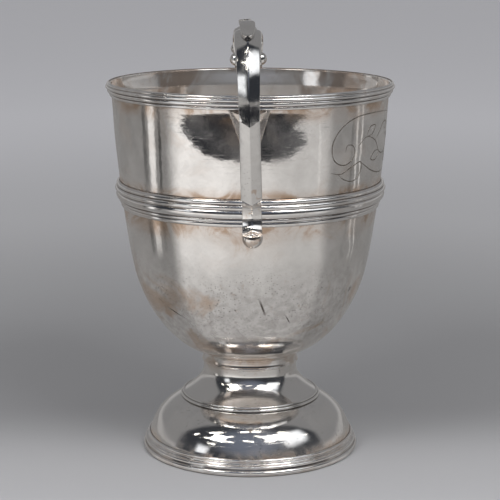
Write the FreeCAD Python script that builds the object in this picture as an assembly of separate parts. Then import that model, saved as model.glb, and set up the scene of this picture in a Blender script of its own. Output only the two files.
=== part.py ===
import FreeCAD, Part
import math
import os

# Two-handled silver presentation cup. Millimetres, +Z up, origin on the table
# under the centre of the foot. The front handle points to -Y, the back one to +Y.

V = FreeCAD.Vector

# ---- driving dimensions ----
CUP_HEIGHT = 200.0      # foot to rim crest
WALL = 1.2              # raised bowl sheet
FOOT_WALL = 1.1         # spun foot sheet
GIRDLE_LOW, GIRDLE_HIGH = 133.6, 147.9
NECK_R = 26.5           # joint between bowl and foot
NECK_Z = 53.7

# outer skin of the bowl from the joint up to the rim, (radius, height)
BOWL_SKIN = [(NECK_R, NECK_Z), (31.5, 56.0), (36.6, 59.0), (41.5, 63.0), (46.45, 68.0),
             (50.9, 74.0), (54.6, 80.0), (57.9, 87.0), (60.55, 94.0), (62.6, 102.0),
             (64.25, 110.0), (65.6, 118.0), (66.75, 126.0), (67.7, 132.2), (68.7, 140.0),
             (69.65, 148.7), (70.7, 159.0), (71.4, 166.0), (72.1, 175.0), (72.75, 186.5)]
RIM_FOOT = (73.15, 192.5)     # lower edge of the rim moulding on the wall
RIM_TURN = (74.3, 196.0)     # the wall opens out behind the moulding
RIM_TOP = (74.7, 199.0)

# outer skin of the foot
SPOOL_SKIN = [(25.6, 47.7), (25.35, 43.8), (26.2, 40.7), (28.1, 37.8), (30.5, 35.2),
              (33.1, 32.9), (35.8, 30.9)]
DOME_SKIN = [(37.3, 28.4), (42.2, 25.9), (46.6, 22.7), (50.2, 18.9), (52.7, 14.6),
             (54.2, 11.2), (54.9, 8.5)]

# handles
ARM_EDGE, ARM_KEEL = 1.7, 2.9        # straight arm: edge thickness, height of its ridge
SCROLL_EDGE, SCROLL_KEEL = 1.8, 2.7
FLARE_FROM, FLARE_RISE, FLARE = 212.0, 14.0, 0.3   # the back of the scroll widens to its crest
TAIL_EDGE, TAIL_KEEL = 1.4, 2.1
BOSS_R = 3.2
KNEE = (105.8, 188.2)                # lowest point of the pointed tip that laps over the arm
LAP = 1.0                            # the arm's keel lies this far behind the tip
LAP_SLOPE = 50                       # degrees, the mitre behind the tip rises inward
HEEL = (82.4, 147.2)                 # keel at the lower end of the straight arm
VOLUTE_EYE = (70.0, 217.2)
CREST_Z = 233.8
PLATE_TOP, PLATE_TIP = 192.4, 155.5
PLATE_TILT = 4.3                     # degrees, the lean of the wall behind the mount plate
# keel line of the upper scroll from the knee over the crest into the volute: out, up, width
SCROLL_RUN = [(105.6, 181.0, 9.8), (105.8, 188.2, 9.9), (106.0, 194.2, 10.1),
              (105.9, 200.4, 10.4), (105.1, 207.2, 10.8), (103.3, 214.2, 11.2),
              (100.1, 221.2, 11.5), (94.6, 227.9, 11.9), (86.6, 232.5, 12.3),
              (77.8, 233.8, 12.8), (70.0, 231.7, 13.3), (64.4, 226.1, 13.6),
              (62.8, 218.5, 14.0), (65.6, 212.2, 13.8), (71.4, 210.2, 13.4),
              (76.0, 213.2, 13.0), (76.9, 217.9, 12.6)]
# thin nose of the tail: out, up, width, edge thickness, height of its ridge
TAIL_NOSE = [(86.8, 132.7, 2.6, 0.8, 0.6), (86.0, 133.0, 5.8, 1.0, 1.2)]
# keel line of the tail from the nose up the girdle to the heel
TAIL_RUN = [(83.6, 133.7, 9.4), (80.8, 133.4, 10.3), (78.2, 133.9, 10.3), (76.3, 135.8, 10.1),
            (75.5, 138.6, 10.0), (75.8, 141.3, 9.9), (77.2, 144.1, 9.8), (80.2, 146.3, 9.8),
            (85.4, 148.2, 9.8)]
LOBE, LOBE_R, LOBE_TOP = (81.8, 131.2), 5.2, 132.4   # part ball under the end of the tail
# top of the tongue on the crest: out, up (keel line), width
TONGUE_RUN = [(78.6, 233.75, 2.8), (79.7, 233.7, 5.0), (81.4, 233.5, 6.6), (84.2, 233.1, 7.3),
              (87.2, 232.3, 7.3), (90.4, 230.75, 6.8), (92.8, 229.2, 5.4), (94.3, 228.1, 2.8)]
TONGUE_FULL = 6.8                    # the leaf has its full thickness from this width
FRONT_LEAN, BACK_LEAN = 1.3, 3.4     # degrees, hand-set handles lean a little
BACK_ASTRAY = 0.1                    # degrees that the back handle sits off the true diameter
BACK_DROP = 8.8                      # the back scroll has settled lower than the front one
LEAN_Z = 178.0


# ---- turned work ----
def on_plane(p):
    return V(p[0], 0, p[1])


def outline(start, *steps):
    """Face in the XZ plane: a pair is a line, two pairs are an arc, a list is a smooth curve."""
    edges, here = [], start
    for step in steps:
        if isinstance(step, list):
            curve = Part.BSplineCurve()
            curve.interpolate([on_plane(p) for p in [here] + step])
            edges.append(curve.toShape())
            here = step[-1]
        elif isinstance(step[0], tuple):
            edges.append(Part.Arc(on_plane(here), on_plane(step[0]), on_plane(step[1])).toShape())
            here = step[1]
        else:
            edges.append(Part.LineSegment(on_plane(here), on_plane(step)).toShape())
            here = step
    edges.append(Part.LineSegment(on_plane(here), on_plane(start)).toShape())
    return Part.Face(Part.Wire(edges))


def turned(start, *steps):
    return outline(start, *steps).revolve(V(0, 0, 0), V(0, 0, 1), 360)


def inset(points, depth):
    """The same run of points moved inward along its own normal."""
    moved = []
    for i, (r, z) in enumerate(points):
        (r0, z0), (r1, z1) = points[max(i - 1, 0)], points[min(i + 1, len(points) - 1)]
        length = math.hypot(r1 - r0, z1 - z0)
        moved.append((r - depth * abs(z1 - z0) / length,
                      z + depth * (r1 - r0) / length * (1 if z1 > z0 else -1)))
    return moved


def bowl_solid(hollow):
    skin = [(14.0, 50.2), (21.0, 51.6)] + BOWL_SKIN
    start = (0.0, 49.6)
    if not hollow:
        return turned(start, skin, RIM_FOOT, RIM_TURN, RIM_TOP, (0.0, RIM_TOP[1]))
    inner = inset(BOWL_SKIN + [RIM_FOOT], WALL)[::-1]
    return turned(start, skin, RIM_FOOT, RIM_TURN, RIM_TOP,
                  ((RIM_TOP[0] - 0.65, CUP_HEIGHT - 0.35), (RIM_TOP[0] - WALL, RIM_TOP[1])),
                  (RIM_TURN[0] - WALL, RIM_TURN[1]), inner[0],
                  inner[1:] + [(20.6, 52.8), (13.8, 51.4), (0.0, 50.8)])


def rim_moulding():
    """Reeded wire: a fat crest roll, two reeds and a thin bead that step in to the wall."""
    return turned(RIM_FOOT,
                  ((74.3, 193.3), (73.9, 194.3)),
                  ((75.45, 195.45), (74.95, 196.65)),
                  ((76.35, 197.6), (75.6, 198.6)),
                  ((75.75, 199.2), (75.2, 199.75)), ((74.95, 199.9), (74.6, CUP_HEIGHT)),
                  RIM_TOP, RIM_TURN)


def girdle_band():
    """Broad reeded wire: two reeds over a wide rounded one, then a thin reed and a flat bead."""
    low, high = (67.9, GIRDLE_LOW), (69.55, GIRDLE_HIGH)
    band = turned(low,
                  ((68.95, 134.7), (68.75, 136.2)),
                  ((69.75, 137.0), (69.45, 138.0)),
                  ((71.55, 140.0), (71.1, 142.6)),
                  ((72.15, 144.05), (71.0, 145.4)),
                  ((71.35, 146.75), high),
                  (68.5, GIRDLE_HIGH), (66.8, GIRDLE_LOW))
    return band.cut(bowl_solid(False))


# ---- foot ----
def neck_collar():
    ring = turned((25.0, 47.7), (25.65, 47.7), ((26.2, 48.5), (25.75, 49.3)),
                  [(25.55, 50.8), (25.8, 52.5), (26.5, 53.7)], (26.5, 54.6), (25.0, 54.6))
    return ring.cut(bowl_solid(False))


def foot_spool():
    inner = inset(SPOOL_SKIN, FOOT_WALL)[::-1]
    tube = turned((25.0, 53.6), (25.0, 47.7), (25.6, 47.7), SPOOL_SKIN[1:],
                  inner[0], inner[1:-1] + [(23.9, 47.7)], (23.9, 53.6))
    return tube.cut(bowl_solid(False))


def step_ring():
    """Double reed between the spool and the dome."""
    end, dome_end = SPOOL_SKIN[-1], DOME_SKIN[0]
    spool_in, dome_in = inset(SPOOL_SKIN, FOOT_WALL)[-1], inset(DOME_SKIN, FOOT_WALL)[0]
    return turned(end, ((36.75, 31.05), (36.85, 30.05)), ((37.9, 29.65), (37.65, 28.55)),
                  dome_end, dome_in, (35.2, 27.4), (34.5, 29.2), spool_in)


def foot_dome():
    inner = inset(DOME_SKIN, FOOT_WALL)[::-1]
    return turned(DOME_SKIN[0], DOME_SKIN[1:], inner[0], inner[1:])


def foot_moulding():
    """Bead, hollow, bead and a broad flange with a rounded edge."""
    inner = inset(DOME_SKIN, FOOT_WALL)[-1]
    return turned(DOME_SKIN[-1], ((56.05, 8.2), (55.75, 7.1)), ((55.7, 6.0), (56.6, 5.5)),
                  ((57.75, 4.9), (57.3, 3.8)), (57.5, 3.1),
                  ((58.45, 2.5), (58.35, 1.2)), ((58.2, 0.3), (57.5, 0.0)),
                  (54.2, 0.0), (53.4, 1.0), inner)


# ---- handles: drawn in the X (out from the axis) and Z plane, then turned into place ----
def sink(run, drop):
    """Press a run down: nothing at the knee, the full drop at the crest."""
    scale = 1 - drop / (CREST_Z - KNEE[1])
    return [(p[0], KNEE[1] + (p[1] - KNEE[1]) * (scale if p[1] > KNEE[1] else 1)) + tuple(p[2:])
            for p in run]


def direction(start, end):
    return V(end[0] - start[0], 0, end[1] - start[1]).normalize()


def headings(run):
    return [direction(run[max(i - 1, 0)], run[min(i + 1, len(run) - 1)])
            for i in range(len(run))]


def keeled_section(point, heading, edge, keel, base=0.82):
    """Five-sided section across the run, its ridge on the keel line."""
    inward = heading.cross(V(0, 1, 0))
    ridge, half = V(point[0], 0, point[1]), V(0, point[2] / 2, 0)
    shoulder, back = ridge + inward * keel, ridge + inward * (keel + edge)
    corners = [ridge, shoulder + half, back + half * base, back - half * base, shoulder - half]
    return Part.makePolygon(corners + [ridge])


def strap(run, edge, keel):
    sections = [keeled_section(p, h, edge, keel) for p, h in zip(run, headings(run))]
    return Part.makeLoft(sections, True, False)


def block(point, heading):
    """Cutting block that starts at a point and lies ahead of it."""
    box = Part.makeBox(26, 26, 26, V(0, -13, -13))
    box.Placement = FreeCAD.Placement(V(point[0], 0, point[1]),
                                      FreeCAD.Rotation(V(1, 0, 0), heading))
    return box


ARM_TOP = (KNEE[0] - LAP, KNEE[1])
ARM_WAY = direction(ARM_TOP, HEEL)
KNEE_WAY = V(-math.sin(math.radians(LAP_SLOPE)), 0, -math.cos(math.radians(LAP_SLOPE)))
HEEL_WAY = (ARM_WAY + direction(TAIL_RUN[-1], TAIL_RUN[-2])).normalize()


def upper_scroll(drop):
    """C-scroll that grows wider behind towards its crest."""
    run, sections = sink(SCROLL_RUN, drop), []
    for p, h in zip(run, headings(run)):
        share = min(1.0, max(0.0, (p[1] - FLARE_FROM) / FLARE_RISE))
        sections.append(keeled_section(p, h, SCROLL_EDGE, SCROLL_KEEL, 0.82 + FLARE * share))
    return Part.makeLoft(sections, True, False).cut(block(KNEE, KNEE_WAY))


def lower_arm():
    over = 7.0
    run = [(HEEL[0] + ARM_WAY.x * over, HEEL[1] + ARM_WAY.z * over, 10.8),
           (ARM_TOP[0] - ARM_WAY.x * over, ARM_TOP[1] - ARM_WAY.z * over, 10.1)]
    arm = strap(run, ARM_EDGE, ARM_KEEL)
    return arm.cut(block(KNEE, KNEE_WAY * -1)).cut(block(HEEL, HEEL_WAY))


def terminal():
    """Tail that hugs the girdle, then kicks out over a rounded lobe."""
    inward = V(-1, 0, 0.15).normalize()
    sections = [keeled_section(p, inward, p[3], p[4]) for p in TAIL_NOSE]
    sections += [keeled_section(p, h, TAIL_EDGE, TAIL_KEEL)
                 for p, h in zip(TAIL_RUN, headings(TAIL_RUN))]
    tail = Part.makeLoft(sections, True, False).cut(block(HEEL, HEEL_WAY * -1))
    lobe = Part.makeSphere(LOBE_R, V(LOBE[0], 0, LOBE[1]))
    return tail.fuse(lobe.common(block((LOBE[0], LOBE_TOP), V(0, 0, -1))))


def thumb_piece(drop):
    """Round-ended leaf with a crowned top, thin at both ends, seated astride the ridge."""
    run = sink(TONGUE_RUN, drop)
    sections = []
    for (x, z, width), heading in zip(run, headings(run)):
        up, side = heading.cross(V(0, 1, 0)) * -1, V(0, width / 2, 0)
        here, rise = V(x, 0, z), min(1.0, width / TONGUE_FULL)
        crown, brow, edge = up * (0.8 * rise), up * (0.45 * rise), up * (-0.7 * rise)
        corners = [here + crown, here + brow + side * 0.6, here + edge + side,
                   here - up * 2.5 + side, here - up * 2.5 - side, here + edge - side,
                   here + brow - side * 0.6]
        sections.append(Part.makePolygon(corners + [corners[0]]))
    return Part.makeLoft(sections, True, False)


def boss(drop, side):
    eye = sink([VOLUTE_EYE], drop)[0]
    return Part.makeSphere(BOSS_R, V(eye[0], side * (9.0 - BOSS_R), eye[1]))


def triangle(x, half, top, low):
    return Part.makePolygon([V(x, -half, top), V(x, half, top), V(x, 0, low), V(x, -half, top)])


def mount_plate():
    """Long inverted triangle with bevelled edges, lying along the wall and curved with it."""
    root, rise = RIM_FOOT[0], PLATE_TOP - PLATE_TIP
    plate = Part.makeLoft([triangle(root - 1.2, 10.8, PLATE_TOP, PLATE_TIP),
                           triangle(root + 0.9, 8.9, PLATE_TOP, PLATE_TIP + 4.5)], True, True)
    plate.rotate(V(root, 0, PLATE_TOP), V(0, 1, 0), PLATE_TILT)
    wall = root - rise * math.tan(math.radians(PLATE_TILT))
    return plate.common(Part.makeCone(wall + 0.8, root + 0.8, rise, V(0, 0, PLATE_TIP)))


def bracket():
    """Strut that flares from the back of the arm's top to the plate."""
    stations = [(72.6, 9.2, 192.0, 178.2), (75.8, 7.2, 191.6, 181.4), (81.0, 5.6, 191.6, 184.6),
                (90.0, 4.9, 191.4, 186.4), (101.2, 4.2, 191.2, 187.6)]
    return Part.makeLoft([triangle(*s) for s in stations], True, False)


def handle(name, azimuth, lean, drop, body):
    """All pieces of one handle, set on the body and named after it."""
    scroll, arm, tail = upper_scroll(drop), lower_arm(), terminal()
    plate = mount_plate()
    pieces = {
        "upper_scroll": scroll,
        "lower_arm": arm,
        "terminal": tail,
        "thumb_piece": thumb_piece(drop).cut(scroll),
        "boss_left": boss(drop, -1).cut(scroll),
        "boss_right": boss(drop, 1).cut(scroll),
        "mount_plate": plate,
        "bracket": bracket().cut(plate).cut(scroll).cut(arm),
    }
    placed = {}
    for part_name, shape in pieces.items():
        shape.rotate(V(0, 0, LEAN_Z), V(1, 0, 0), lean)
        shape.rotate(V(0, 0, 0), V(0, 0, 1), azimuth)
        placed["%s_%s" % (name, part_name)] = shape.cut(body)
    return placed


os.makedirs("parts", exist_ok=True)
NODES = {
    "bowl": bowl_solid(True),
    "rim_moulding": rim_moulding(),
    "girdle_band": girdle_band(),
    "neck_collar": neck_collar(),
    "foot_spool": foot_spool(),
    "step_ring": step_ring(),
    "foot_dome": foot_dome(),
    "foot_moulding": foot_moulding(),
}
BODY = bowl_solid(False).fuse([NODES["rim_moulding"], NODES["girdle_band"]])
NODES.update(handle("front", -90, FRONT_LEAN, 0.0, BODY))
NODES.update(handle("back", 90 + BACK_ASTRAY, -BACK_LEAN, BACK_DROP, BODY))
for name, shape in NODES.items():
    print(name, shape.isValid(), len(shape.Solids), round(shape.Volume, 1))
    shape.exportStep("parts/%s.step" % name)
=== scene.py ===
"""Looks of a two-handled silver presentation cup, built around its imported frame. Metres."""
import math
import random

import bmesh
import bpy
from mathutils import Matrix, Vector, noise


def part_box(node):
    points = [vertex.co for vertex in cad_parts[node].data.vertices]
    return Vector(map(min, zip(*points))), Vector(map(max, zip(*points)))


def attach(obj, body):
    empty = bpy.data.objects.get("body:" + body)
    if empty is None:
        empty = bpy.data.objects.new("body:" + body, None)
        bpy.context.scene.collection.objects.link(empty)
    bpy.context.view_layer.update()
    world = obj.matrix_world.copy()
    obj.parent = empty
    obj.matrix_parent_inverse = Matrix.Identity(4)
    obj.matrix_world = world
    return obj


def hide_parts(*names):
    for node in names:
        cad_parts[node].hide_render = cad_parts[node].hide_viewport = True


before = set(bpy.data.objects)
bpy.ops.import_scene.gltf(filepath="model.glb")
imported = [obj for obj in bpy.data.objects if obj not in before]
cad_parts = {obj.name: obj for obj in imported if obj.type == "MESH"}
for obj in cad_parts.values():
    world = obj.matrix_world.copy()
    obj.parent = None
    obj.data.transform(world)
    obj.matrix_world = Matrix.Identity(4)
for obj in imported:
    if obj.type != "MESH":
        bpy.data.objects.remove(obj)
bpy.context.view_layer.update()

MM = 0.001
TURNED = {"bowl": "silver_bowl", "rim_moulding": "silver_moulding",
          "girdle_band": "silver_moulding", "neck_collar": "silver_foot",
          "foot_spool": "silver_foot", "step_ring": "silver_foot", "foot_dome": "silver_foot",
          "foot_moulding": "silver_moulding"}
HANDLES = ("front", "back")

RIM_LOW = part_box("rim_moulding")[0].z
GIRDLE_LOW, GIRDLE_TOP = (corner.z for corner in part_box("girdle_band"))
NECK_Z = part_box("neck_collar")[1].z
DOME_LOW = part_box("foot_dome")[0].z
SCROLL_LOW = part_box("front_upper_scroll")[0].z


# ---- camera ----
def make_camera():
    data = bpy.data.cameras.new("camera")
    data.lens = 115.0
    data.sensor_width = 36.0
    data.shift_x = -0.0004
    data.clip_end = 60.0
    camera = bpy.data.objects.new("camera", data)
    camera.location = (0.0, -0.8453, 0.2829)
    camera.rotation_euler = (math.radians(78.333), 0.0, 0.0)
    bpy.context.scene.collection.objects.link(camera)
    bpy.context.scene.camera = camera


# ---- node graphs ----
class Graph:
    """Short names for the shader nodes that the materials use."""

    def __init__(self, tree):
        self.tree = tree
        tree.nodes.clear()

    def node(self, kind, settings=None, **inputs):
        made = self.tree.nodes.new(kind)
        for key, value in (settings or {}).items():
            setattr(made, key, value)
        for key, value in inputs.items():
            self.feed(made.inputs[key.replace("_", " ")], value)
        return made

    def feed(self, socket, value):
        if isinstance(value, bpy.types.NodeSocket):
            self.tree.links.new(value, socket)
        elif value is not None:
            socket.default_value = value

    def math(self, operation, a, b=None, clamp=False):
        made = self.node("ShaderNodeMath", {"operation": operation, "use_clamp": clamp})
        self.feed(made.inputs[0], a)
        self.feed(made.inputs[1], b)
        return made.outputs[0]

    def times(self, a, b):
        return self.math("MULTIPLY", a, b)

    def plus(self, a, b):
        return self.math("ADD", a, b, clamp=True)

    def ramp(self, value, low, high, start=0.0, end=1.0):
        """Smooth step of a value between low and high."""
        made = self.node("ShaderNodeMapRange", {"interpolation_type": "SMOOTHSTEP"})
        for socket, number in zip(made.inputs[:5], (value, low, high, start, end)):
            self.feed(socket, number)
        return made.outputs[0]

    def mix(self, share, a, b):
        made = self.node("ShaderNodeMix", {"data_type": "RGBA"})
        self.feed(made.inputs[0], share)
        self.feed(made.inputs[6], a)
        self.feed(made.inputs[7], b)
        return made.outputs[2]

    def noise(self, scale, detail=3.0, rough=0.5, vector=None, warp=0.0):
        made = self.node("ShaderNodeTexNoise", Scale=scale, Detail=detail, Roughness=rough,
                         Distortion=warp)
        self.feed(made.inputs["Vector"], vector)
        return made.outputs["Fac"]

    def stretch(self, vector, scale, turn=(0.0, 0.0, 0.0)):
        made = self.node("ShaderNodeMapping", Scale=scale, Rotation=turn)
        self.feed(made.inputs["Vector"], vector)
        return made.outputs[0]

    def bump(self, height, strength, distance, under=None):
        made = self.node("ShaderNodeBump", Height=height, Strength=strength, Distance=distance)
        self.feed(made.inputs["Normal"], under)
        return made.outputs[0]


def rgb(red, green, blue):
    return (red, green, blue, 1.0)


# ---- silver ----
class Silver(Graph):
    """Masks and marks that all the silver surfaces share."""

    def __init__(self, name):
        self.material = bpy.data.materials.new(name)
        self.material.use_nodes = True
        super().__init__(self.material.node_tree)
        self.place = self.node("ShaderNodeTexCoord").outputs["Object"]
        self.x, self.y, self.z = self.node("ShaderNodeSeparateXYZ", Vector=self.place).outputs

    def near_height(self, height, reach):
        """1 at a height, 0 at a reach above or below it."""
        gap = self.math("ABSOLUTE", self.math("SUBTRACT", self.z, height))
        return self.ramp(gap, 0.0, reach, 1.0, 0.0)

    def recess(self, distance):
        """1 deep in a crease, 0 on open surface."""
        shade = self.node("ShaderNodeAmbientOcclusion", {"samples": 8}, Distance=distance)
        return self.ramp(shade.outputs["AO"], 0.35, 0.85, 1.0, 0.0)

    def cloud(self, scale, low, high, detail=5.0, warp=0.6):
        return self.ramp(self.noise(scale, detail, 0.58, self.place, warp), low, high)

    def hairlines(self, scale, turn, low, high):
        """Fine straight marks in one direction."""
        drawn = self.stretch(self.place, scale, turn)
        return self.ramp(self.noise(1.0, 2.0, 0.5, drawn), low, high)

    def pits(self, scale, low, high, cover=0.5):
        cells = self.node("ShaderNodeTexVoronoi", Scale=scale, Randomness=1.0)
        self.feed(cells.inputs["Vector"], self.place)
        return self.times(self.ramp(cells.outputs["Distance"], low, high, 1.0, 0.0),
                          self.cloud(scale * 0.1, cover, cover + 0.1))

    def inside(self):
        """1 on the hollow side of a turned piece, where the surface faces the axis."""
        facing_way = self.node("ShaderNodeNewGeometry").outputs["True Normal"]
        nx, ny, _ = self.node("ShaderNodeSeparateXYZ", Vector=facing_way).outputs
        outward = self.math("ADD", self.times(nx, self.x), self.times(ny, self.y))
        return self.ramp(outward, -0.002, 0.002, 1.0, 0.0)

    def around(self):
        """Angle round the cup in radians, 0 towards the front handle, + to its right."""
        return self.math("ARCTAN2", self.x, self.math("MULTIPLY", self.y, -1.0))

    def stroke(self, angle, start, end, radius, width):
        """1 on a thin straight mark between two (degrees, height) points of the wall."""
        u0, u1 = (math.radians(p[0]) * radius for p in (start, end))
        du, dz = u1 - u0, end[1] - start[1]
        long = math.hypot(du, dz)
        across = self.math("SUBTRACT", self.times(angle, radius), u0)
        up = self.math("SUBTRACT", self.z, start[1])
        along = self.math("ADD", self.times(across, du / long), self.times(up, dz / long))
        off = self.math("SUBTRACT", self.times(across, dz / long), self.times(up, du / long))
        past = self.math("ABSOLUTE", self.math("SUBTRACT", along, long / 2))
        taper = self.ramp(past, 0.1 * long, 0.55 * long, 1.0, 0.0)
        thin = self.ramp(self.math("ABSOLUTE", off), 0.35 * width, width, 1.0, 0.0)
        return self.times(thin, taper)

    def finish(self, colour, roughness, normal, veil=None):
        """The veil is a thin film of tarnish that dulls the mirror."""
        metal = 1.0 if veil is None else self.ramp(veil, 0.0, 1.0, 1.0, 1.0 - VEIL)
        shader = self.node("ShaderNodeBsdfPrincipled", Metallic=metal)
        self.feed(shader.inputs["Base Color"], colour)
        self.feed(shader.inputs["Roughness"], roughness)
        self.feed(shader.inputs["Normal"], normal)
        output = self.node("ShaderNodeOutputMaterial")
        self.tree.links.new(shader.outputs[0], output.inputs[0])
        return self.material


VEIL = 0.30
BRIGHT = rgb(0.93, 0.915, 0.90)
CLEAN = rgb(0.845, 0.825, 0.80)
CLOUDY = rgb(0.735, 0.705, 0.675)
WARM = rgb(0.585, 0.43, 0.315)
DULL = rgb(0.60, 0.575, 0.55)
BROWN = rgb(0.40, 0.27, 0.18)
DARK = rgb(0.085, 0.065, 0.055)
# dents and scratches of use on the lower bowl: (degrees, height) to (degrees, height), width
SCRATCHES = [((-50.0, 0.087), (-36.0, 0.081), 0.00045), ((4.0, 0.096), (8.0, 0.085), 0.0007),
             ((58.0, 0.092), (60.0, 0.096), 0.0008), ((18.0, 0.086), (22.0, 0.080), 0.0004),
             ((-176.0, 0.101), (-164.0, 0.093), 0.0005), ((128.0, 0.088), (133.0, 0.098), 0.0005)]
SCRATCH_R = 0.058            # radius of the wall where they lie


def bowl_silver():
    """Raised and never buffed: hazy film, pits, and warm stains near the solder joints."""
    g = Silver("silver_bowl")
    angle, inside = g.around(), g.inside()
    outside = g.math("SUBTRACT", 1.0, inside)
    bloom = g.cloud(26.0, 0.3, 0.72, 4.0, 0.5)
    mist = g.cloud(95.0, 0.36, 0.7, 6.0, 0.8)
    under_rim = g.times(g.near_height(RIM_LOW, 0.010), 0.9)
    by_girdle = g.plus(g.near_height(GIRDLE_TOP, 0.006), g.near_height(GIRDLE_LOW, 0.013))
    joints = g.plus(g.plus(under_rim, by_girdle), g.times(g.near_height(NECK_Z, 0.02), 0.4))
    beside = g.ramp(g.math("ABSOLUTE", g.x), 0.004, 0.026, 1.0, 0.0)
    feet = g.times(beside, g.near_height(GIRDLE_LOW, 0.024))
    feet = g.plus(feet, g.times(beside, g.times(g.near_height(RIM_LOW - 0.004, 0.03), 0.6)))
    low = g.times(g.ramp(g.z, GIRDLE_LOW - 0.016, GIRDLE_LOW - 0.044),
                  g.ramp(g.z, NECK_Z + 0.0065, NECK_Z + 0.009))
    low = g.times(low, outside)
    blotch = g.cloud(44.0, 0.4, 0.66, 5.0, 1.2)
    stain = g.times(g.plus(joints, feet), g.ramp(blotch, 0.0, 1.0, 0.25, 1.0))
    stain = g.times(stain, outside)
    within = g.times(inside, g.cloud(24.0, 0.46, 0.58, 4.0, 1.4))
    patches = g.times(g.cloud(30.0, 0.5, 0.68, 4.0, 1.0), g.plus(g.times(low, 0.6), 0.2))
    pits = g.times(g.pits(640.0, 0.1, 0.3, 0.45), g.plus(low, 0.08))
    freckle = g.times(g.cloud(420.0, 0.55, 0.72, 3.0, 0.2), g.times(g.plus(low, 0.2), mist))
    mottle = g.times(g.cloud(230.0, 0.38, 0.66, 5.0, 0.4), g.plus(low, 0.15))
    drawn = g.hairlines((90.0, 90.0, 2600.0), (0.0, 0.0, 0.0), 0.62, 0.76)
    strokes = g.plus(g.hairlines((60.0, 2400.0, 900.0), (0.7, 0.3, 0.5), 0.68, 0.75),
                     g.hairlines((2100.0, 80.0, 700.0), (0.3, 0.9, 0.2), 0.69, 0.76))
    marks = None
    for start, end, width in SCRATCHES:
        mark = g.stroke(angle, start, end, SCRATCH_R, width)
        marks = mark if marks is None else g.plus(marks, mark)
    marks = g.times(marks, outside)
    colour = g.mix(g.times(g.plus(g.times(bloom, 0.6), g.times(mist, 0.45)), 0.8), CLEAN, CLOUDY)
    colour = g.mix(g.times(mottle, 0.75), colour, DULL)
    colour = g.mix(patches, colour, WARM)
    colour = g.mix(g.times(stain, 0.95), colour, WARM)
    colour = g.mix(g.times(g.times(stain, stain), 0.6), colour, BROWN)
    colour = g.mix(g.times(within, 0.6), colour, BROWN)
    colour = g.mix(g.times(freckle, 0.4), colour, BROWN)
    colour = g.mix(g.times(g.recess(0.0022), 0.8), colour, DARK)
    colour = g.mix(g.plus(g.times(pits, 0.8), g.times(marks, 0.9)), colour, DARK)
    rough = g.math("ADD", g.times(g.plus(g.times(bloom, 0.5), g.times(mist, 0.5)), 0.05), 0.035)
    rough = g.math("ADD", rough, g.times(low, 0.06))
    rough = g.math("ADD", rough, g.times(g.plus(g.plus(pits, marks), g.times(stain, 0.6)), 0.2))
    rough = g.math("ADD", rough, g.times(g.plus(drawn, strokes), 0.05))
    raised = g.ramp(g.z, NECK_Z + 0.006, NECK_Z + 0.012)
    normal = g.bump(g.times(g.noise(30.0, 2.0, 0.4, g.place), raised), 0.3, 0.0011)
    normal = g.bump(g.times(g.noise(105.0, 3.0, 0.5, g.place), raised), 0.28, 0.00026, normal)
    normal = g.bump(g.noise(520.0, 4.0, 0.6, g.place), 0.12, 0.0001, normal)
    normal = g.bump(g.plus(drawn, strokes), 0.1, 0.00003, normal)
    normal = g.bump(g.plus(pits, marks), -0.5, 0.0001, normal)
    veil = g.plus(g.plus(g.times(bloom, 0.5), g.times(mist, 0.3)), g.times(low, 0.25))
    veil = g.plus(g.plus(veil, g.times(stain, 0.4)), g.times(inside, 0.8))
    return g.finish(colour, rough, normal, veil)


def moulding_silver():
    """Drawn wire: bright on the reeds, brown and black where polish never reaches."""
    g = Silver("silver_moulding")
    bloom = g.cloud(60.0, 0.36, 0.7)
    groove = g.recess(0.0016)
    stain = g.times(g.cloud(75.0, 0.42, 0.66, warp=1.2), 0.6)
    drawn = g.hairlines((60.0, 60.0, 3600.0), (0.0, 0.0, 0.0), 0.58, 0.72)
    colour = g.mix(g.times(bloom, 0.6), BRIGHT, CLOUDY)
    colour = g.mix(g.times(stain, g.plus(groove, 0.35)), colour, WARM)
    colour = g.mix(g.times(groove, 0.5), colour, BROWN)
    colour = g.mix(g.times(groove, 0.9), colour, DARK)
    rough = g.math("ADD", g.times(bloom, 0.07), g.math("ADD", g.times(groove, 0.25), 0.09))
    normal = g.bump(g.noise(60.0, 2.0, 0.4, g.place), 0.3, 0.0006)
    normal = g.bump(g.noise(240.0, 2.0, 0.5, g.place), 0.16, 0.00012, normal)
    normal = g.bump(drawn, 0.12, 0.00004, normal)
    normal = g.bump(g.noise(700.0, 3.0, 0.6, g.place), 0.12, 0.00008, normal)
    return g.finish(colour, rough, normal, g.times(bloom, 0.4))


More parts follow.
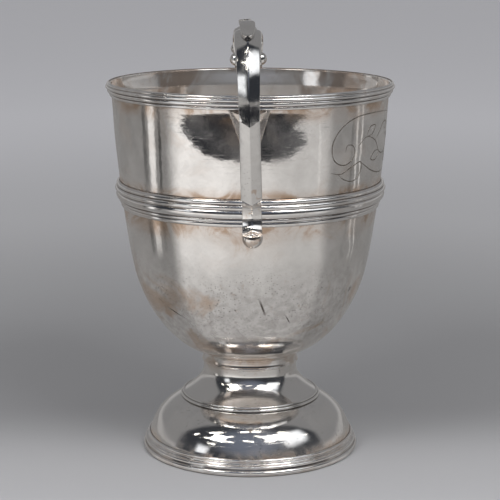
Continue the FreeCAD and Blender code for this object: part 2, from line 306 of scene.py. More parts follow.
def foot_silver():
    """Spun and polished foot, lightly scratched, brown towards its lower edge."""
    g = Silver("silver_foot")
    bloom = g.cloud(40.0, 0.36, 0.7)
    low = g.times(g.near_height(DOME_LOW, 0.006), g.cloud(60.0, 0.4, 0.62, warp=1.2))
    high = g.times(g.near_height(NECK_Z, 0.012), g.cloud(80.0, 0.36, 0.62))
    spun = g.hairlines((70.0, 70.0, 3000.0), (0.0, 0.0, 0.0), 0.6, 0.74)
    wiped = g.hairlines((1900.0, 70.0, 500.0), (0.4, 0.2, 0.8), 0.67, 0.75)
    pits = g.pits(520.0, 0.1, 0.26)
    groove = g.recess(0.0018)
    colour = g.mix(g.times(bloom, 0.5), CLEAN, CLOUDY)
    colour = g.mix(g.times(g.plus(low, high), 0.75), colour, WARM)
    colour = g.mix(g.times(g.plus(groove, g.times(pits, 0.6)), 0.8), colour, DARK)
    rough = g.math("ADD", g.times(bloom, 0.07), 0.07)
    rough = g.math("ADD", rough, g.times(g.plus(g.plus(spun, wiped), low), 0.08))
    normal = g.bump(g.noise(45.0, 2.0, 0.4, g.place), 0.3, 0.0007)
    normal = g.bump(g.noise(520.0, 3.0, 0.6, g.place), 0.1, 0.0001, normal)
    normal = g.bump(g.plus(spun, wiped), 0.12, 0.00004, normal)
    return g.finish(colour, rough, normal, g.plus(g.ramp(bloom, 0.0, 1.0, 0.12, 0.32), low))


def handle_silver():
    """Cast and filed: mirror-bright facets with file marks and dark creases."""
    g = Silver("silver_handle")
    bloom = g.cloud(90.0, 0.4, 0.7)
    filed = g.hairlines((2600.0, 160.0, 160.0), (0.2, 0.1, 0.3), 0.6, 0.74)
    groove = g.recess(0.0022)
    # Painted reflection: the tail warm towards the girdle, standing for the brown body it mirrors
    low = g.times(g.ramp(g.z, GIRDLE_LOW, GIRDLE_TOP, 1.0, 0.0), g.cloud(150.0, 0.42, 0.62))
    spot = g.times(g.cloud(120.0, 0.58, 0.68, 3.0, 0.8), g.ramp(g.z, SCROLL_LOW, SCROLL_LOW - 0.01))
    pits = g.pits(700.0, 0.1, 0.26)
    colour = g.mix(g.times(bloom, 0.4), CLEAN, CLOUDY)
    # Warm: painted reflection of the body low down, and real stains under the scroll
    colour = g.mix(g.times(g.plus(low, spot), 0.6), colour, WARM)
    colour = g.mix(g.times(g.plus(groove, g.times(pits, 0.5)), 0.8), colour, DARK)
    rough = g.math("ADD", g.times(bloom, 0.05), 0.07)
    rough = g.math("ADD", rough, g.times(g.plus(filed, low), 0.06))
    normal = g.bump(g.noise(110.0, 2.0, 0.4, g.place), 0.35, 0.0006)
    normal = g.bump(g.plus(filed, g.noise(800.0, 3.0, 0.6, g.place)), 0.12, 0.00005, normal)
    return g.finish(colour, rough, normal, g.times(bloom, 0.3))


def plate_silver():
    """Mount plate as cast: a sandy skin, brown where the strut shades it."""
    g = Silver("silver_plate")
    bloom = g.cloud(130.0, 0.36, 0.68)
    groove = g.recess(0.004)
    colour = g.mix(g.times(bloom, 0.6), CLEAN, CLOUDY)
    colour = g.mix(g.plus(g.times(groove, 0.7), 0.25), colour, WARM)
    normal = g.bump(g.noise(900.0, 4.0, 0.6, g.place), 0.3, 0.0001)
    return g.finish(colour, g.math("ADD", g.times(bloom, 0.1), 0.2), normal, g.times(bloom, 0.5))


def groove_silver():
    """Bottom of an engraved cut, where old polish and tarnish stay."""
    g = Silver("engraved_groove")
    grime = g.cloud(500.0, 0.35, 0.65)
    colour = g.mix(grime, rgb(0.15, 0.125, 0.105), rgb(0.38, 0.34, 0.30))
    normal = g.bump(g.noise(2500.0, 2.0, 0.5, g.place), 0.3, 0.00004)
    return g.finish(colour, g.math("ADD", g.times(grime, 0.2), 0.3), normal)


# ---- turned pieces ----
SEGMENTS = 288
WALL_STEP = 2.5 * MM
CREASE = math.radians(38)
HAND_WAVE = 0.13 * MM        # a hand-raised wall is never quite true
KNOCK_R = 0.06
# shallow knocks: azimuth in degrees, height, reach, depth
KNOCKS = [(214.0, 0.098, 0.011, 0.35 * MM), (318.0, 0.118, 0.008, 0.25 * MM),
          (64.0, 0.084, 0.010, 0.30 * MM), (141.0, 0.171, 0.009, 0.25 * MM),
          (283.0, 0.088, 0.007, 0.22 * MM)]


def seam_outline(node):
    """Outline (radius, height) of a turned node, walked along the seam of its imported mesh."""
    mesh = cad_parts[node].data
    spots = [(round(v.co.x, 6), round(v.co.z, 6)) for v in mesh.vertices]
    on_seam = [abs(v.co.y) < 2e-6 and v.co.x > -1e-6 for v in mesh.vertices]
    beside = {}
    for edge in mesh.edges:
        a, b = edge.vertices
        if on_seam[a] and on_seam[b] and spots[a] != spots[b]:
            beside.setdefault(spots[a], set()).add(spots[b])
            beside.setdefault(spots[b], set()).add(spots[a])
    ends = sorted(spot for spot, near in beside.items() if len(near) == 1)
    walk = [ends[0] if ends else min(beside)]
    last = None
    while True:
        onward = sorted(n for n in beside[walk[-1]] if n != last)
        if not onward or onward[0] == walk[0]:
            break
        last = walk[-1]
        walk.append(onward[0])
    return walk, not ends


def turn_at(before, here, after):
    """Angle by which a path turns at a point, and which way."""
    ax, ay = here[0] - before[0], here[1] - before[1]
    bx, by = after[0] - here[0], after[1] - here[1]
    return math.atan2(ax * by - ay * bx, ax * bx + ay * by)


def smooth_outline(walk, closed):
    """Adds points along the long smooth stretches, on the curve through their neighbours."""
    count, made = len(walk), []
    for i in range(count if closed else count - 1):
        p0, p1, p2, p3 = (walk[max(i - 1, 0) if not closed else i - 1], walk[i],
                          walk[(i + 1) % count], walk[(i + 2) % count])
        if not closed and i + 2 >= count:
            p3 = p2
        gap = math.dist(p1, p2)
        parts = max(1, round(gap / WALL_STEP))
        bent_in, bent_out = abs(turn_at(p0, p1, p2)), abs(turn_at(p1, p2, p3))
        for k in range(parts):
            t = k / parts
            pull = 0.5 * (p2[0] - p0[0]), 0.5 * (p2[1] - p0[1])
            push = 0.5 * (p3[0] - p1[0]), 0.5 * (p3[1] - p1[1])
            even = (0.6 < math.dist(p0, p1) / gap < 1.7 and 0.6 < math.dist(p2, p3) / gap < 1.7)
            if even and bent_in < 0.3 and bent_out < 0.3:
                a, b = 2 * t**3 - 3 * t**2 + 1, t**3 - 2 * t**2 + t
                c, d = -2 * t**3 + 3 * t**2, t**3 - t**2
                made.append(tuple(a * p1[j] + b * pull[j] + c * p2[j] + d * push[j]
                                  for j in (0, 1)))
            else:
                made.append(tuple(p1[j] + (p2[j] - p1[j]) * t for j in (0, 1)))
    if not closed:
        made.append(walk[-1])
    return made


def hand_wave(azimuth, height):
    """How far the wall stands off its true radius: slow waves and a few knocks."""
    spot = Vector((math.cos(azimuth) * 1.9, math.sin(azimuth) * 1.9, height * 24.0))
    off = HAND_WAVE * (noise.noise(spot) + 0.5 * noise.noise(spot * 2.3))
    for degrees, level, reach, depth in KNOCKS:
        swing = math.remainder(azimuth - math.radians(degrees), 2 * math.pi) * KNOCK_R
        gap = math.hypot(swing, height - level) / reach
        off -= depth * math.exp(-2.5 * gap * gap)
    return off


def new_piece(name, verts, faces, materials, crease=CREASE):
    mesh = bpy.data.meshes.new(name)
    mesh.from_pydata(verts, [], faces)
    for material in materials:
        mesh.materials.append(material)
    bm = bmesh.new()
    bm.from_mesh(mesh)
    bmesh.ops.recalc_face_normals(bm, faces=bm.faces)
    bm.to_mesh(mesh)
    bm.free()
    mesh.shade_smooth()
    mesh.set_sharp_from_angle(angle=crease)
    piece = bpy.data.objects.new(name, mesh)
    bpy.context.scene.collection.objects.link(piece)
    return piece


def turned_piece(node, material):
    """Spins a node's own outline again, finer and with the marks of hand work."""
    walk, closed = seam_outline(node)
    outline = smooth_outline(walk, closed)
    verts, faces = [], []
    for radius, height in outline:
        for k in range(SEGMENTS):
            azimuth = 2 * math.pi * k / SEGMENTS
            reach = radius + hand_wave(azimuth, height) * min(1.0, radius / 0.02)
            verts.append((reach * math.cos(azimuth), reach * math.sin(azimuth), height))
    rings = len(outline)
    for i in range(rings if closed else rings - 1):
        low, high = i * SEGMENTS, (i + 1) % rings * SEGMENTS
        for k in range(SEGMENTS):
            step = (k + 1) % SEGMENTS
            faces.append((low + k, low + step, high + step, high + k))
    piece = new_piece("spun_" + node, verts, faces, [material])
    if not closed:
        weld(piece)
    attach(piece, "root")
    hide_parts(node)
    return piece


def weld(piece):
    """Joins the points that meet on the axis."""
    bm = bmesh.new()
    bm.from_mesh(piece.data)
    bmesh.ops.remove_doubles(bm, verts=bm.verts, dist=2e-6)
    bmesh.ops.recalc_face_normals(bm, faces=bm.faces)
    bm.to_mesh(piece.data)
    bm.free()


# ---- handles: drawn in the X (out) and Z plane in mm, then set on the body ----
ARM_EDGE, ARM_KEEL = 1.7, 2.9
SCROLL_EDGE, SCROLL_KEEL = 1.8, 2.7
FLARE_FROM, FLARE_RISE, FLARE = 212.0, 14.0, 0.3
TAIL_EDGE, TAIL_KEEL = 1.4, 2.1
ARM_LOW_WIDTH, ARM_TOP_WIDTH = 10.8, 10.1
ARM_OVER, ARM_PARTS = 7.0, 24        # it runs past both ends before it is cut
KNEE, HEEL = (105.8, 188.2), (82.4, 147.2)
CUT_REACH = 26.0                     # a cut leaves the far end of a curled piece alone
BASE_SHARE = 0.82                    # width of a strap's back to its full width
WORN, CREST_WORN, NOSE_WORN, STRUT_WORN, LEAF_WORN = 0.45, 0.3, 0.3, 0.5, 0.35
LAP, LAP_SLOPE = 1.0, 50.0           # the scroll's pointed tip laps over the arm
ARM_TOP = (KNEE[0] - LAP, KNEE[1])
CREST_Z = 233.8
SCROLL_RUN = [(105.6, 181.0, 9.8), (105.8, 188.2, 9.9), (106.0, 194.2, 10.1),
              (105.9, 200.4, 10.4), (105.1, 207.2, 10.8), (103.3, 214.2, 11.2),
              (100.1, 221.2, 11.5), (94.6, 227.9, 11.9), (86.6, 232.5, 12.3),
              (77.8, 233.8, 12.8), (70.0, 231.7, 13.3), (64.4, 226.1, 13.6),
              (62.8, 218.5, 14.0), (65.6, 212.2, 13.8), (71.4, 210.2, 13.4),
              (76.0, 213.2, 13.0), (76.9, 217.9, 12.6)]
TAIL_NOSE = [(86.8, 132.7, 2.6, 0.8, 0.6), (86.0, 133.0, 5.8, 1.0, 1.2)]
TAIL_RUN = [(83.6, 133.7, 9.4), (80.8, 133.4, 10.3), (78.2, 133.9, 10.3), (76.3, 135.8, 10.1),
            (75.5, 138.6, 10.0), (75.8, 141.3, 9.9), (77.2, 144.1, 9.8), (80.2, 146.3, 9.8),
            (85.4, 148.2, 9.8)]
LOBE, LOBE_R, LOBE_TOP = (81.8, 131.2), 5.2, 132.4
TONGUE_FULL = 6.8                    # the leaf has its full thickness from this width
LEAF_CROWN, LEAF_BROW, LEAF_EDGE, LEAF_DEPTH = 0.8, 0.45, -0.7, 2.5
BROW_SHARE = 0.6
TONGUE_RUN = [(78.6, 233.75, 2.8), (79.7, 233.7, 5.0), (81.4, 233.5, 6.6), (84.2, 233.1, 7.3),
              (87.2, 232.3, 7.3), (90.4, 230.75, 6.8), (92.8, 229.2, 5.4), (94.3, 228.1, 2.8)]
STRUT_RUN = [(72.6, 9.2, 192.0, 178.2), (75.8, 7.2, 191.6, 181.4), (81.0, 5.6, 191.6, 184.6),
             (90.0, 4.9, 191.4, 186.4), (101.2, 4.2, 191.2, 187.6)]
LEAN_Z = 178.0
SETTING = {"front": (-90.0, 1.3, 0.0), "back": (90.1, -3.4, 8.8)}   # azimuth, lean, drop
ACROSS = Vector((0.0, 1.0, 0.0))


def sink(run, drop):
    scale = 1 - drop / (CREST_Z - KNEE[1])
    return [(p[0], KNEE[1] + (p[1] - KNEE[1]) * (scale if p[1] > KNEE[1] else 1)) + tuple(p[2:])
            for p in run]


def curve_through(points, parts=8):
    """Smooth run through points of any number of values."""
    made, last = [], len(points) - 1
    for i in range(last):
        p0, p1, p2, p3 = (points[max(i - 1, 0)], points[i], points[i + 1],
                          points[min(i + 2, last)])
        for k in range(parts):
            t = k / parts
            made.append(tuple(0.5 * (2 * b + (c - a) * t + (2 * a - 5 * b + 4 * c - d) * t * t
                                     + (3 * b - a - 3 * c + d) * t**3)
                              for a, b, c, d in zip(p0, p1, p2, p3)))
    return made + [tuple(points[-1])]


def headings(run):
    last = len(run) - 1
    return [Vector((run[min(i + 1, last)][0] - run[max(i - 1, 0)][0], 0.0,
                    run[min(i + 1, last)][1] - run[max(i - 1, 0)][1])).normalized()
            for i in range(last + 1)]


def rounded(corners, radius, steps=4):
    """Closed ring through corners, each one worn round."""
    ring, count = [], len(corners)
    for i, here in enumerate(corners):
        before, after = corners[i - 1], corners[(i + 1) % count]
        into, out = before - here, after - here
        start = here + into * min(radius / into.length, 0.4)
        end = here + out * min(radius / out.length, 0.4)
        for k in range(steps + 1):
            t = k / steps
            ring.append(start * (1 - t) ** 2 + here * 2 * t * (1 - t) + end * t * t)
    return ring


def keeled(point, heading, edge, keel, base=BASE_SHARE):
    """Corners of the five-sided section, its ridge on the keel line."""
    inward = heading.cross(ACROSS)
    ridge, half = Vector((point[0], 0.0, point[1])), ACROSS * (point[2] / 2)
    shoulder, back = ridge + inward * keel, ridge + inward * (keel + edge)
    return [ridge, shoulder + half, back + half * base, back - half * base, shoulder - half]


def loft(rings):
    verts = [v for ring in rings for v in ring]
    count, last = len(rings[0]), len(rings) - 1
    faces = [(i * count + k, i * count + (k + 1) % count, (i + 1) * count + (k + 1) % count,
              (i + 1) * count + k) for i in range(last) for k in range(count)]
    faces.append(tuple(reversed(range(count))))
    faces.append(tuple(last * count + k for k in range(count)))
    return verts, faces


def cut_away(piece, point, heading):
    """Removes what lies ahead of a point, within reach of it, and closes the cut."""
    here = Vector((point[0], 0.0, point[1]))
    bm = bmesh.new()
    bm.from_mesh(piece.data)
    faces = [f for f in bm.faces if all((v.co - here).length < CUT_REACH for v in f.verts)]
    edges = dict.fromkeys(e for f in faces for e in f.edges)
    verts = dict.fromkeys(v for f in faces for v in f.verts)
    bmesh.ops.bisect_plane(bm, geom=list(verts) + list(edges) + faces, plane_co=here,
                           plane_no=heading, clear_outer=True)
    bmesh.ops.holes_fill(bm, edges=[e for e in bm.edges if e.is_boundary], sides=0)
    bmesh.ops.recalc_face_normals(bm, faces=bm.faces)
    bm.to_mesh(piece.data)
    bm.free()
    piece.data.set_sharp_from_angle(angle=CREASE)


def way(start, end):
    return Vector((end[0] - start[0], 0.0, end[1] - start[1])).normalized()


ARM_WAY = way(ARM_TOP, HEEL)
KNEE_WAY = Vector((-math.sin(math.radians(LAP_SLOPE)), 0.0, -math.cos(math.radians(LAP_SLOPE))))
HEEL_WAY = (ARM_WAY + way(TAIL_RUN[-1], TAIL_RUN[-2])).normalized()


def scroll_piece(name, drop, material):
    run = curve_through(sink(SCROLL_RUN, drop))
    rings = []
    for p, h in zip(run, headings(run)):
        share = min(1.0, max(0.0, (p[1] - FLARE_FROM) / FLARE_RISE))
        section = keeled(p, h, SCROLL_EDGE, SCROLL_KEEL, BASE_SHARE + FLARE * share)
        rings.append(rounded(section, WORN + CREST_WORN * share))
    piece = new_piece(name, *loft(rings), [material])
    cut_away(piece, KNEE, KNEE_WAY)
    return piece


def arm_piece(name, material):
    over = ARM_OVER
    run = []
    for k in range(ARM_PARTS + 1):
        t = k / ARM_PARTS
        run.append((HEEL[0] + ARM_WAY.x * over + (ARM_TOP[0] - HEEL[0] - 2 * over * ARM_WAY.x) * t,
                    HEEL[1] + ARM_WAY.z * over + (ARM_TOP[1] - HEEL[1] - 2 * over * ARM_WAY.z) * t,
                    ARM_LOW_WIDTH + (ARM_TOP_WIDTH - ARM_LOW_WIDTH) * t))
    rings = [rounded(keeled(p, h, ARM_EDGE, ARM_KEEL), WORN) for p, h in zip(run, headings(run))]
    piece = new_piece(name, *loft(rings), [material])
    cut_away(piece, KNEE, -KNEE_WAY)
    cut_away(piece, HEEL, HEEL_WAY)
    return piece


def tail_piece(name, material):
    """The tail hugs the girdle, then kicks out over the lobe."""
    inward = Vector((-1.0, 0.0, 0.15)).normalized()
    rings = [rounded(keeled(p, inward, p[3], p[4]), NOSE_WORN) for p in TAIL_NOSE]
    run = curve_through(TAIL_RUN)
    rings += [rounded(keeled(p, h, TAIL_EDGE, TAIL_KEEL), WORN)
              for p, h in zip(run, headings(run))]
    piece = new_piece(name, *loft(rings), [material])
    cut_away(piece, HEEL, -HEEL_WAY)
    return piece


def lobe_piece(name, material):
    """Part ball under the end of the tail, flat on top."""
    top, low, rows, count = math.asin((LOBE_TOP - LOBE[1]) / LOBE_R), math.radians(-88), 20, 48
    rings = []
    for i in range(rows + 1):
        rise = low + (top - low) * i / rows
        rings.append([Vector((LOBE[0] + LOBE_R * math.cos(rise) * math.cos(k * math.tau / count),
                              LOBE_R * math.cos(rise) * math.sin(k * math.tau / count),
                              LOBE[1] + LOBE_R * math.sin(rise))) for k in range(count)])
    return new_piece(name, *loft(rings), [material])


def tongue_piece(name, drop, material):
    """Round-ended leaf on the crest, crowned across and thin at both ends."""
    run = curve_through(sink(TONGUE_RUN, drop), 6)
    rings = []
    for (x, z, width), heading in zip(run, headings(run)):
        up, side, here = -heading.cross(ACROSS), ACROSS * (width / 2), Vector((x, 0.0, z))
        rise = min(1.0, width / TONGUE_FULL)
        crown, brow, edge = up * (LEAF_CROWN * rise), up * (LEAF_BROW * rise), up * (LEAF_EDGE * rise)
        under = here - up * LEAF_DEPTH
        rings.append(rounded([here + crown, here + brow + side * BROW_SHARE, here + edge + side,
                              under + side, under - side, here + edge - side,
                              here + brow - side * BROW_SHARE], LEAF_WORN, 3))
    return new_piece(name, *loft(rings), [material])


def strut_piece(name, material):
    rings = []
    for x, half, top, low in curve_through(STRUT_RUN, 6):
        corners = [Vector((x, -half, top)), Vector((x, half, top)), Vector((x, 0.0, low))]
        rings.append(rounded(corners, STRUT_WORN))
    return new_piece(name, *loft(rings), [material])


def set_on_body(piece, azimuth, lean):
    spin = Matrix.Rotation(math.radians(azimuth), 4, "Z")
    tilt = (Matrix.Translation((0, 0, LEAN_Z)) @ Matrix.Rotation(math.radians(lean), 4, "X")
            @ Matrix.Translation((0, 0, -LEAN_Z)))
    piece.data.transform(Matrix.Scale(MM, 4) @ spin @ tilt)


def make_handle(name, material, plate):
    azimuth, lean, drop = SETTING[name]
    made = {
        "upper_scroll": scroll_piece(name + "_keeled_scroll", drop, material),
        "lower_arm": arm_piece(name + "_keeled_arm", material),
        "terminal": tail_piece(name + "_keeled_tail", material),
        "thumb_piece": tongue_piece(name + "_tongue", drop, material),
        "bracket": strut_piece(name + "_strut", material),
    }
    for node, piece in made.items():
        set_on_body(piece, azimuth, lean)
        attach(piece, "root")
        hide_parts("%s_%s" % (name, node))
    lobe = lobe_piece(name + "_lobe", material)
    set_on_body(lobe, azimuth, lean)
    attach(lobe, "root")
    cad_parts[name + "_mount_plate"].data.materials[0] = plate
    for node in ("boss_left", "boss_right"):
        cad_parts["%s_%s" % (name, node)].data.materials[0] = material


# ---- engraving: a curled ribbon with sprigs, no letters, on the +X side of the wall ----
# strokes in mm: (along the wall from the middle of that side, height)
RIBBON = [
    [(-6, 184.5), (-22, 186.5), (-40, 187.3), (-54, 186.2), (-64, 181.5), (-69.2, 173.5),
     (-67.5, 165.6), (-60.5, 162.6), (-54.0, 166.0), (-54.6, 171.6), (-59.2, 172.6),
     (-60.2, 169.2)],
    [(-69.0, 159.4), (-62.5, 158.2), (-56.5, 160.6), (-48.0, 163.2), (-47.0, 158.2),
     (-52.5, 153.8), (-60.0, 155.2), (-64.5, 158.4)],
    [(-48.0, 163.2), (-36.0, 157.4), (-22.0, 154.6), (-6.0, 155.6)],
    [(-52.0, 170.0), (-44.0, 175.4), (-34.0, 172.6), (-27.0, 166.2), (-18.0, 164.6),
     (-11.5, 169.0), (-14.0, 174.6), (-19.6, 173.4)],
    [(-44.0, 175.4), (-41.0, 180.2), (-35.0, 180.6), (-38.0, 176.6), (-43.0, 175.6)],
    [(-27.0, 166.2), (-31.5, 162.4), (-37.5, 163.4), (-33.5, 167.0), (-28.0, 166.8)],
    [(-18.0, 164.6), (-15.0, 160.2), (-9.0, 159.6), (-11.5, 163.4), (-17.0, 165.0)],
    [(-11.5, 169.0), (-6.5, 172.5), (-1.5, 177.5), (0.0, 183.0)],
    [(-34.0, 172.6), (-28.0, 177.0), (-22.0, 181.0), (-15.5, 180.4), (-17.5, 177.2),
     (-21.0, 178.0)],
]
CUT, BURR, PROUD = 0.24 * MM, 0.1 * MM, 0.05 * MM
ENGRAVED_R = 0.0715


def wall_radius(walk, height):
    """Outer radius of a turned outline at a height."""
    crossed = [a[0] + (b[0] - a[0]) * (height - a[1]) / (b[1] - a[1])
               for a, b in zip(walk, walk[1:]) if (a[1] - height) * (b[1] - height) < 0]
    return max(crossed)


def engraved_stroke(walk, points, mirrored):
    """Rings of one burin cut: burred edges and a V between, fading out at both ends."""
    run = curve_through(points, 7)
    side = -1 if mirrored else 1
    rings = []
    for i, (along, height) in enumerate(run):
        ahead, behind = run[min(i + 1, len(run) - 1)], run[max(i - 1, 0)]
        gone = math.hypot(ahead[0] - behind[0], ahead[1] - behind[1])
        across = (-(ahead[1] - behind[1]) / gone, (ahead[0] - behind[0]) / gone)
        t = i / (len(run) - 1)
        swell = 0.35 + 0.65 * math.sin(math.pi * t) ** 0.6
        ring = []
        for offset, lift in ((-CUT - BURR, -PROUD), (-CUT, PROUD), (0.0, 0.25 * PROUD),
                             (CUT, PROUD), (CUT + BURR, -PROUD)):
            s = (along * MM + across[0] * offset * swell) * side
            z = height * MM + across[1] * offset * swell
            azimuth = s / ENGRAVED_R
            reach = wall_radius(walk, z) + hand_wave(azimuth, z) + lift * (swell if lift > 0 else 1)
            ring.append(Vector((reach * math.cos(azimuth), reach * math.sin(azimuth), z)))
        rings.append(ring)
    return loft(rings)


def engraved_ribbon(material):
    walk = seam_outline("bowl")[0]
    verts, faces = [], []
    for mirrored in (False, True):
        for points in RIBBON:
            new_verts, new_faces = engraved_stroke(walk, points, mirrored)
            faces += [tuple(k + len(verts) for k in face) for face in new_faces]
            verts += new_verts
    piece = new_piece("engraved_ribbon", verts, faces, [material])
    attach(piece, "root")


# ---- stage ----
FLOOR_R = 14.0
# the pale paper as the silver sees it: a round sheet cut straight across its front, with a flap
# at the right that reaches further forward; beyond it the room is dark
PAPER_R, PAPER_FRONT = 1.055, -0.53
PAPER_SIDES = (-71.0, 67.0)          # degrees from the front where the dark ground ends
FLAP_X, FLAP_TIP = 0.57, (0.48, -0.83)
# size and height of the black sheet that paints the dark room into the reflections
DARK_SHEET_HALF, DARK_SHEET_FAR, DARK_SHEET_Z = 1.7, 4.0, 0.003
RAG, RAG_SCALE, RAG_STEP = 0.008, 16.0, 0.02   # how ragged the cut is
POOL_TURN = 1.18             # half angle in radians of the bright paper in front
SIDE_LEVEL = 0.25            # glow of the paper outside that
WINDOW_CORE = 0.22           # share of a window from its middle that is fully bright
# painted light and dark streaks of reflection on the mirrored paper: side, degrees from the front,
# half width, lift
STREAKS = [(-1, 88.0, 0.085, 0.66), (-1, 97.0, 0.05, -0.14), (-1, 78.5, 0.035, -0.16),
           (1, 98.0, 0.022, 0.4), (1, 104.0, 0.018, 0.45), (1, 92.0, 0.03, -0.08),
           (1, 57.0, 0.02, 0.14)]


def glow_material(name):
    material = bpy.data.materials.new(name)
    material.use_nodes = True
    return material, Graph(material.node_tree)


def flat_material(name, colour, strength):
    material, g = glow_material(name)
    glow = g.node("ShaderNodeEmission", Color=colour, Strength=strength)
    output = g.node("ShaderNodeOutputMaterial")
    g.tree.links.new(glow.outputs[0], output.inputs[0])
    return material


def floor_material():
    material, g = glow_material("pale_paper")
    place = g.node("ShaderNodeTexCoord").outputs["Object"]
    far = g.node("ShaderNodeVectorMath", {"operation": "LENGTH"})
    g.feed(far.inputs[0], place)
    away = far.outputs["Value"]
    _, depth, _ = g.node("ShaderNodeSeparateXYZ", Vector=place).outputs
    fade = g.ramp(away, 0.45, 1.6)
    colour = g.mix(fade, rgb(0.50, 0.50, 0.515), rgb(0.79, 0.79, 0.825))
    # Painted shadow: the paper darker in a band behind the cup, where the lamps' shade falls
    painted_shadow = g.times(g.ramp(depth, -0.05, 0.07), g.ramp(away, 0.24, 0.72, 1.0, 0.0))
    colour = g.mix(painted_shadow, colour, rgb(0.33, 0.33, 0.34))
    # Painted light: the paper lighter towards the front, where the lamps fall strongest
    near = g.ramp(depth, -0.03, -0.16)
    colour = g.mix(near, colour, rgb(0.58, 0.58, 0.60))
    grain = g.noise(900.0, 2.0, 0.5, place)
    shader = g.node("ShaderNodeBsdfPrincipled", Roughness=0.9)
    shader.inputs["Specular IOR Level"].default_value = 0.1
    g.feed(shader.inputs["Base Color"], colour)
    g.feed(shader.inputs["Normal"], g.bump(grain, 0.1, 0.0003))
    output = g.node("ShaderNodeOutputMaterial")
    g.tree.links.new(shader.outputs[0], output.inputs[0])
    return material


def mirrored_paper():
    """Glowing sheet that only the silver sees: painted reflection of the lit paper, a bright pool in
    front, duller at the sides and behind.
    """
    material, g = glow_material("mirrored_paper")
    place = g.node("ShaderNodeTexCoord").outputs["Object"]
    x, y, _ = g.node("ShaderNodeSeparateXYZ", Vector=place).outputs
    far = g.node("ShaderNodeVectorMath", {"operation": "LENGTH"})
    g.feed(far.inputs[0], place)
    turn = g.math("ABSOLUTE", g.math("ARCTAN2", x, g.math("MULTIPLY", y, -1.0)))
    pool = g.ramp(turn, POOL_TURN - 0.16, POOL_TURN + 0.1, 1.0, 0.0)
    bright = g.ramp(far.outputs["Value"], 0.08, 0.42, 0.50, 1.0)
    bright = g.times(bright, g.ramp(x, -0.15, 0.3, 1.0, 0.60))
    bright = g.times(bright, g.ramp(far.outputs["Value"], 1.0, 1.5, 1.0, 0.4))
    level = g.math("ADD", g.times(pool, g.math("SUBTRACT", bright, SIDE_LEVEL)), SIDE_LEVEL)
    level = g.times(level, g.ramp(g.noise(5.0, 2.0, 0.5, place), 0.3, 0.7, 0.9, 1.06))
    for side, centre, half, lift in STREAKS:
        gap = g.math("ABSOLUTE", g.math("SUBTRACT", turn, math.radians(centre)))
        streak = g.ramp(gap, 0.5 * half, half, 1.0, 0.0)
        streak = g.times(streak, g.ramp(g.times(x, float(side)), 0.28, 0.4))
        level = g.math("ADD", level, g.times(streak, lift))
    glow = g.node("ShaderNodeEmission", Color=rgb(1.0, 0.985, 0.975))
    g.feed(glow.inputs["Strength"], level)
    output = g.node("ShaderNodeOutputMaterial")
    g.tree.links.new(glow.outputs[0], output.inputs[0])
    return material


def stage_sheet(name, corners, material):
    mesh = bpy.data.meshes.new(name)
    mesh.from_pydata(corners, [], [tuple(range(len(corners)))])
    mesh.materials.append(material)
    sheet = bpy.data.objects.new(name, mesh)
    bpy.context.scene.collection.objects.link(sheet)
    return sheet


def seen_only_in_reflections(sheet):
    sheet.visible_camera = False
    sheet.visible_diffuse = False
    sheet.visible_shadow = False
    sheet.visible_transmission = False


def facing(azimuth, elevation, distance, centre=(0.0, 0.0, 0.12)):
    """Place and turn of a panel that faces the cup; azimuth 0 is the camera's side, + is right."""
    a, e = math.radians(azimuth), math.radians(elevation)
    toward = Vector((math.sin(a) * math.cos(e), -math.cos(a) * math.cos(e), math.sin(e)))
    return Vector(centre) + toward * distance, toward.to_track_quat("Z", "Y")


def softbox(name, azimuth, elevation, distance, width, height, power, mirrored=True):
    data = bpy.data.lights.new(name, "AREA")
    data.shape = "RECTANGLE"
    data.size, data.size_y, data.energy = width, height, power
    light = bpy.data.objects.new(name, data)
    light.location, turn = facing(azimuth, elevation, distance)
    light.rotation_euler = turn.to_euler()
    light.visible_glossy = mirrored
    bpy.context.scene.collection.objects.link(light)


def window(name, azimuth, elevation, distance, width, height, glow):
    """Bright soft-edged patch in the dark room that only the silver sees."""
    spot, turn = facing(azimuth, elevation, distance)
    stand = Matrix.Translation(spot) @ turn.to_matrix().to_4x4()
    corners = [(sx * width / 2, sy * height / 2, 0.0)
               for sx, sy in ((-1, -1), (1, -1), (1, 1), (-1, 1))]
    material, g = glow_material(name)
    x, y, _ = g.node("ShaderNodeSeparateXYZ",
                     Vector=g.node("ShaderNodeTexCoord").outputs["Object"]).outputs
    inner = [g.ramp(g.math("ABSOLUTE", along), WINDOW_CORE * size, 0.5 * size, 1.0, 0.0)
             for along, size in ((x, width), (y, height))]
    lit = g.node("ShaderNodeEmission", Color=rgb(0.92, 0.955, 1.0), Strength=glow)
    clear = g.node("ShaderNodeBsdfTransparent")
    both = g.node("ShaderNodeMixShader")
    g.feed(both.inputs[0], g.times(inner[0], inner[1]))
    g.tree.links.new(clear.outputs[0], both.inputs[1])
    g.tree.links.new(lit.outputs[0], both.inputs[2])
    output = g.node("ShaderNodeOutputMaterial")
    g.tree.links.new(both.outputs[0], output.inputs[0])
    sheet = stage_sheet(name, corners, material)
    sheet.matrix_world = stand
    seen_only_in_reflections(sheet)


def on_circle(degrees, radius):
    turn = math.radians(degrees)
    return radius * math.sin(turn), -radius * math.cos(turn)


def paper_edge():
    """Near edge of the paper from left to right: its rim, the straight cut, the flap, its rim."""
    left, right = PAPER_SIDES
    corner = -math.degrees(math.acos(-PAPER_FRONT / PAPER_R))
    flap_turn = math.degrees(math.atan2(FLAP_TIP[0], -FLAP_TIP[1]))
    out = DARK_SHEET_HALF / math.sin(math.radians(-left))
    edge = [on_circle(left, out), on_circle(left, PAPER_R), on_circle(corner, PAPER_R)]
    edge += [(FLAP_X, PAPER_FRONT), FLAP_TIP]
    edge += [on_circle(flap_turn + (right - flap_turn) * k / 4, PAPER_R) for k in (1, 2, 3, 4)]
    return edge + [on_circle(right, out)]


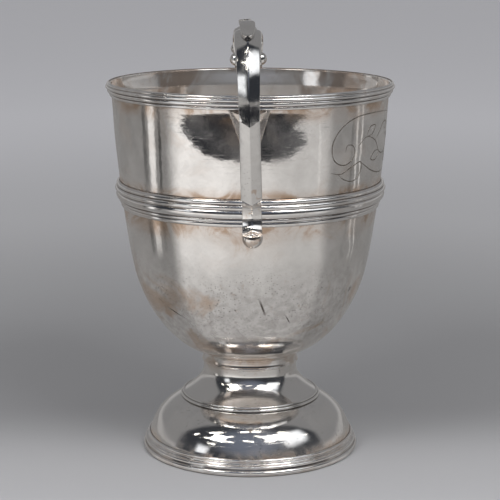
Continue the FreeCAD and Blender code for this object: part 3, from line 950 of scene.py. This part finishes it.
def painted_dark_reflection():
    """Painted dark reflection: a black sheet beyond the paper's ragged near edge that only the silver
    sees, standing for the dark room.
    """
    edge, corners = [], paper_edge()
    for start, end in zip(corners, corners[1:]):
        parts = max(1, round(math.dist(start, end) / RAG_STEP))
        for k in range(parts):
            x, y = (a + (b - a) * k / parts for a, b in zip(start, end))
            rag = RAG * noise.noise(Vector((x, y, 0.0)) * RAG_SCALE)
            edge.append((x, y + rag, DARK_SHEET_Z))
    outer = [(DARK_SHEET_HALF, -DARK_SHEET_FAR, DARK_SHEET_Z), (-DARK_SHEET_HALF, -DARK_SHEET_FAR, DARK_SHEET_Z)]
    dark_sheet = stage_sheet("painted_dark_reflection", edge + outer,
                        flat_material("painted_dark_reflection", rgb(0.02, 0.021, 0.025), 1.0))
    seen_only_in_reflections(dark_sheet)


def ceiling_strips():
    """Rows of short lamps in the dark room, seen as dashes in the foot."""
    material = flat_material("ceiling_strip", rgb(1.0, 0.97, 0.9), 6.0)
    draw = random.Random(11)
    for row, (y, z) in enumerate(((-0.75, 2.2), (-1.6, 2.3), (-2.6, 2.4))):
        for k in range(5):
            x = -2.9 + 1.45 * k + 0.5 * (row % 2) + draw.uniform(-0.15, 0.15)
            tilt = draw.uniform(-0.25, 0.25)
            half, deep = 0.34, 0.06
            corners = [(x - half, y - deep - tilt, z), (x + half, y - deep + tilt, z),
                       (x + half, y + deep + tilt, z), (x - half, y + deep - tilt, z)]
            strip = stage_sheet("ceiling_strip_%d_%d" % (row, k), corners, material)
            seen_only_in_reflections(strip)


def make_world():
    """Even pale light for the paper; the silver sees paper behind it and a dark room in front."""
    world = bpy.data.worlds.new("studio")
    bpy.context.scene.world = world
    world.use_nodes = True
    g = Graph(world.node_tree)
    toward = g.node("ShaderNodeTexCoord").outputs["Generated"]
    _, y, z = g.node("ShaderNodeSeparateXYZ", Vector=toward).outputs
    low = g.ramp(z, 0.08, 0.2, 1.0, 0.0)
    light = g.mix(low, rgb(0.225, 0.225, 0.23), rgb(0.39, 0.385, 0.385))
    ahead = g.node("ShaderNodeVectorMath", {"operation": "DOT_PRODUCT"})
    g.feed(ahead.inputs[0], toward)
    ahead.inputs[1].default_value = (0.0, -0.72, 0.69)
    dark = g.mix(g.ramp(ahead.outputs["Value"], 0.72, 1.0), rgb(0.03, 0.033, 0.04),
                 rgb(0.15, 0.17, 0.22))
    room = g.mix(g.ramp(y, -0.04, 0.10), dark, light)
    path = g.node("ShaderNodeLightPath")
    again = g.ramp(path.outputs["Glossy Depth"], 2.5, 3.0)
    room = g.mix(g.times(again, 0.9), room, rgb(0.86, 0.85, 0.86))
    colour = g.mix(path.outputs["Is Glossy Ray"], rgb(0.45, 0.45, 0.455), room)
    sky = g.node("ShaderNodeBackground", Color=colour, Strength=1.0)
    output = g.node("ShaderNodeOutputWorld")
    g.tree.links.new(sky.outputs[0], output.inputs[0])


def make_stage():
    ring = [(FLOOR_R * math.cos(math.tau * k / 96), FLOOR_R * math.sin(math.tau * k / 96))
            for k in range(96)]
    stage_sheet("floor", [(x, y, 0.0) for x, y in ring], floor_material())
    seen_only_in_reflections(stage_sheet("mirrored_floor", [(x, y, 0.0004) for x, y in ring],
                                         mirrored_paper()))
    painted_dark_reflection()
    softbox("softbox_left", -44.0, 41.0, 1.6, 0.42, 0.42, 4.6)
    softbox("softbox_right", 38.0, 45.0, 1.6, 0.62, 0.42, 6.4)
    softbox("fill_left", -40.0, 48.0, 1.7, 0.9, 0.9, 1.9, mirrored=False)
    softbox("fill_right", 40.0, 48.0, 1.7, 0.9, 0.9, 1.9, mirrored=False)
    window("window_left", -57.0, 13.0, 2.0, 0.7, 0.85, 1.2)
    window("window_right", 60.0, 38.0, 2.0, 1.4, 1.3, 1.3)
    ceiling_strips()
    make_world()
    bpy.context.scene.view_settings.view_transform = "Standard"


# ---- put together ----
make_camera()
silver = {"silver_bowl": bowl_silver(), "silver_moulding": moulding_silver(),
          "silver_foot": foot_silver(), "silver_handle": handle_silver()}
for node, slot in TURNED.items():
    turned_piece(node, silver[slot])
plate_finish = plate_silver()
for handle in HANDLES:
    make_handle(handle, silver["silver_handle"], plate_finish)
engraved_ribbon(groove_silver())
make_stage()
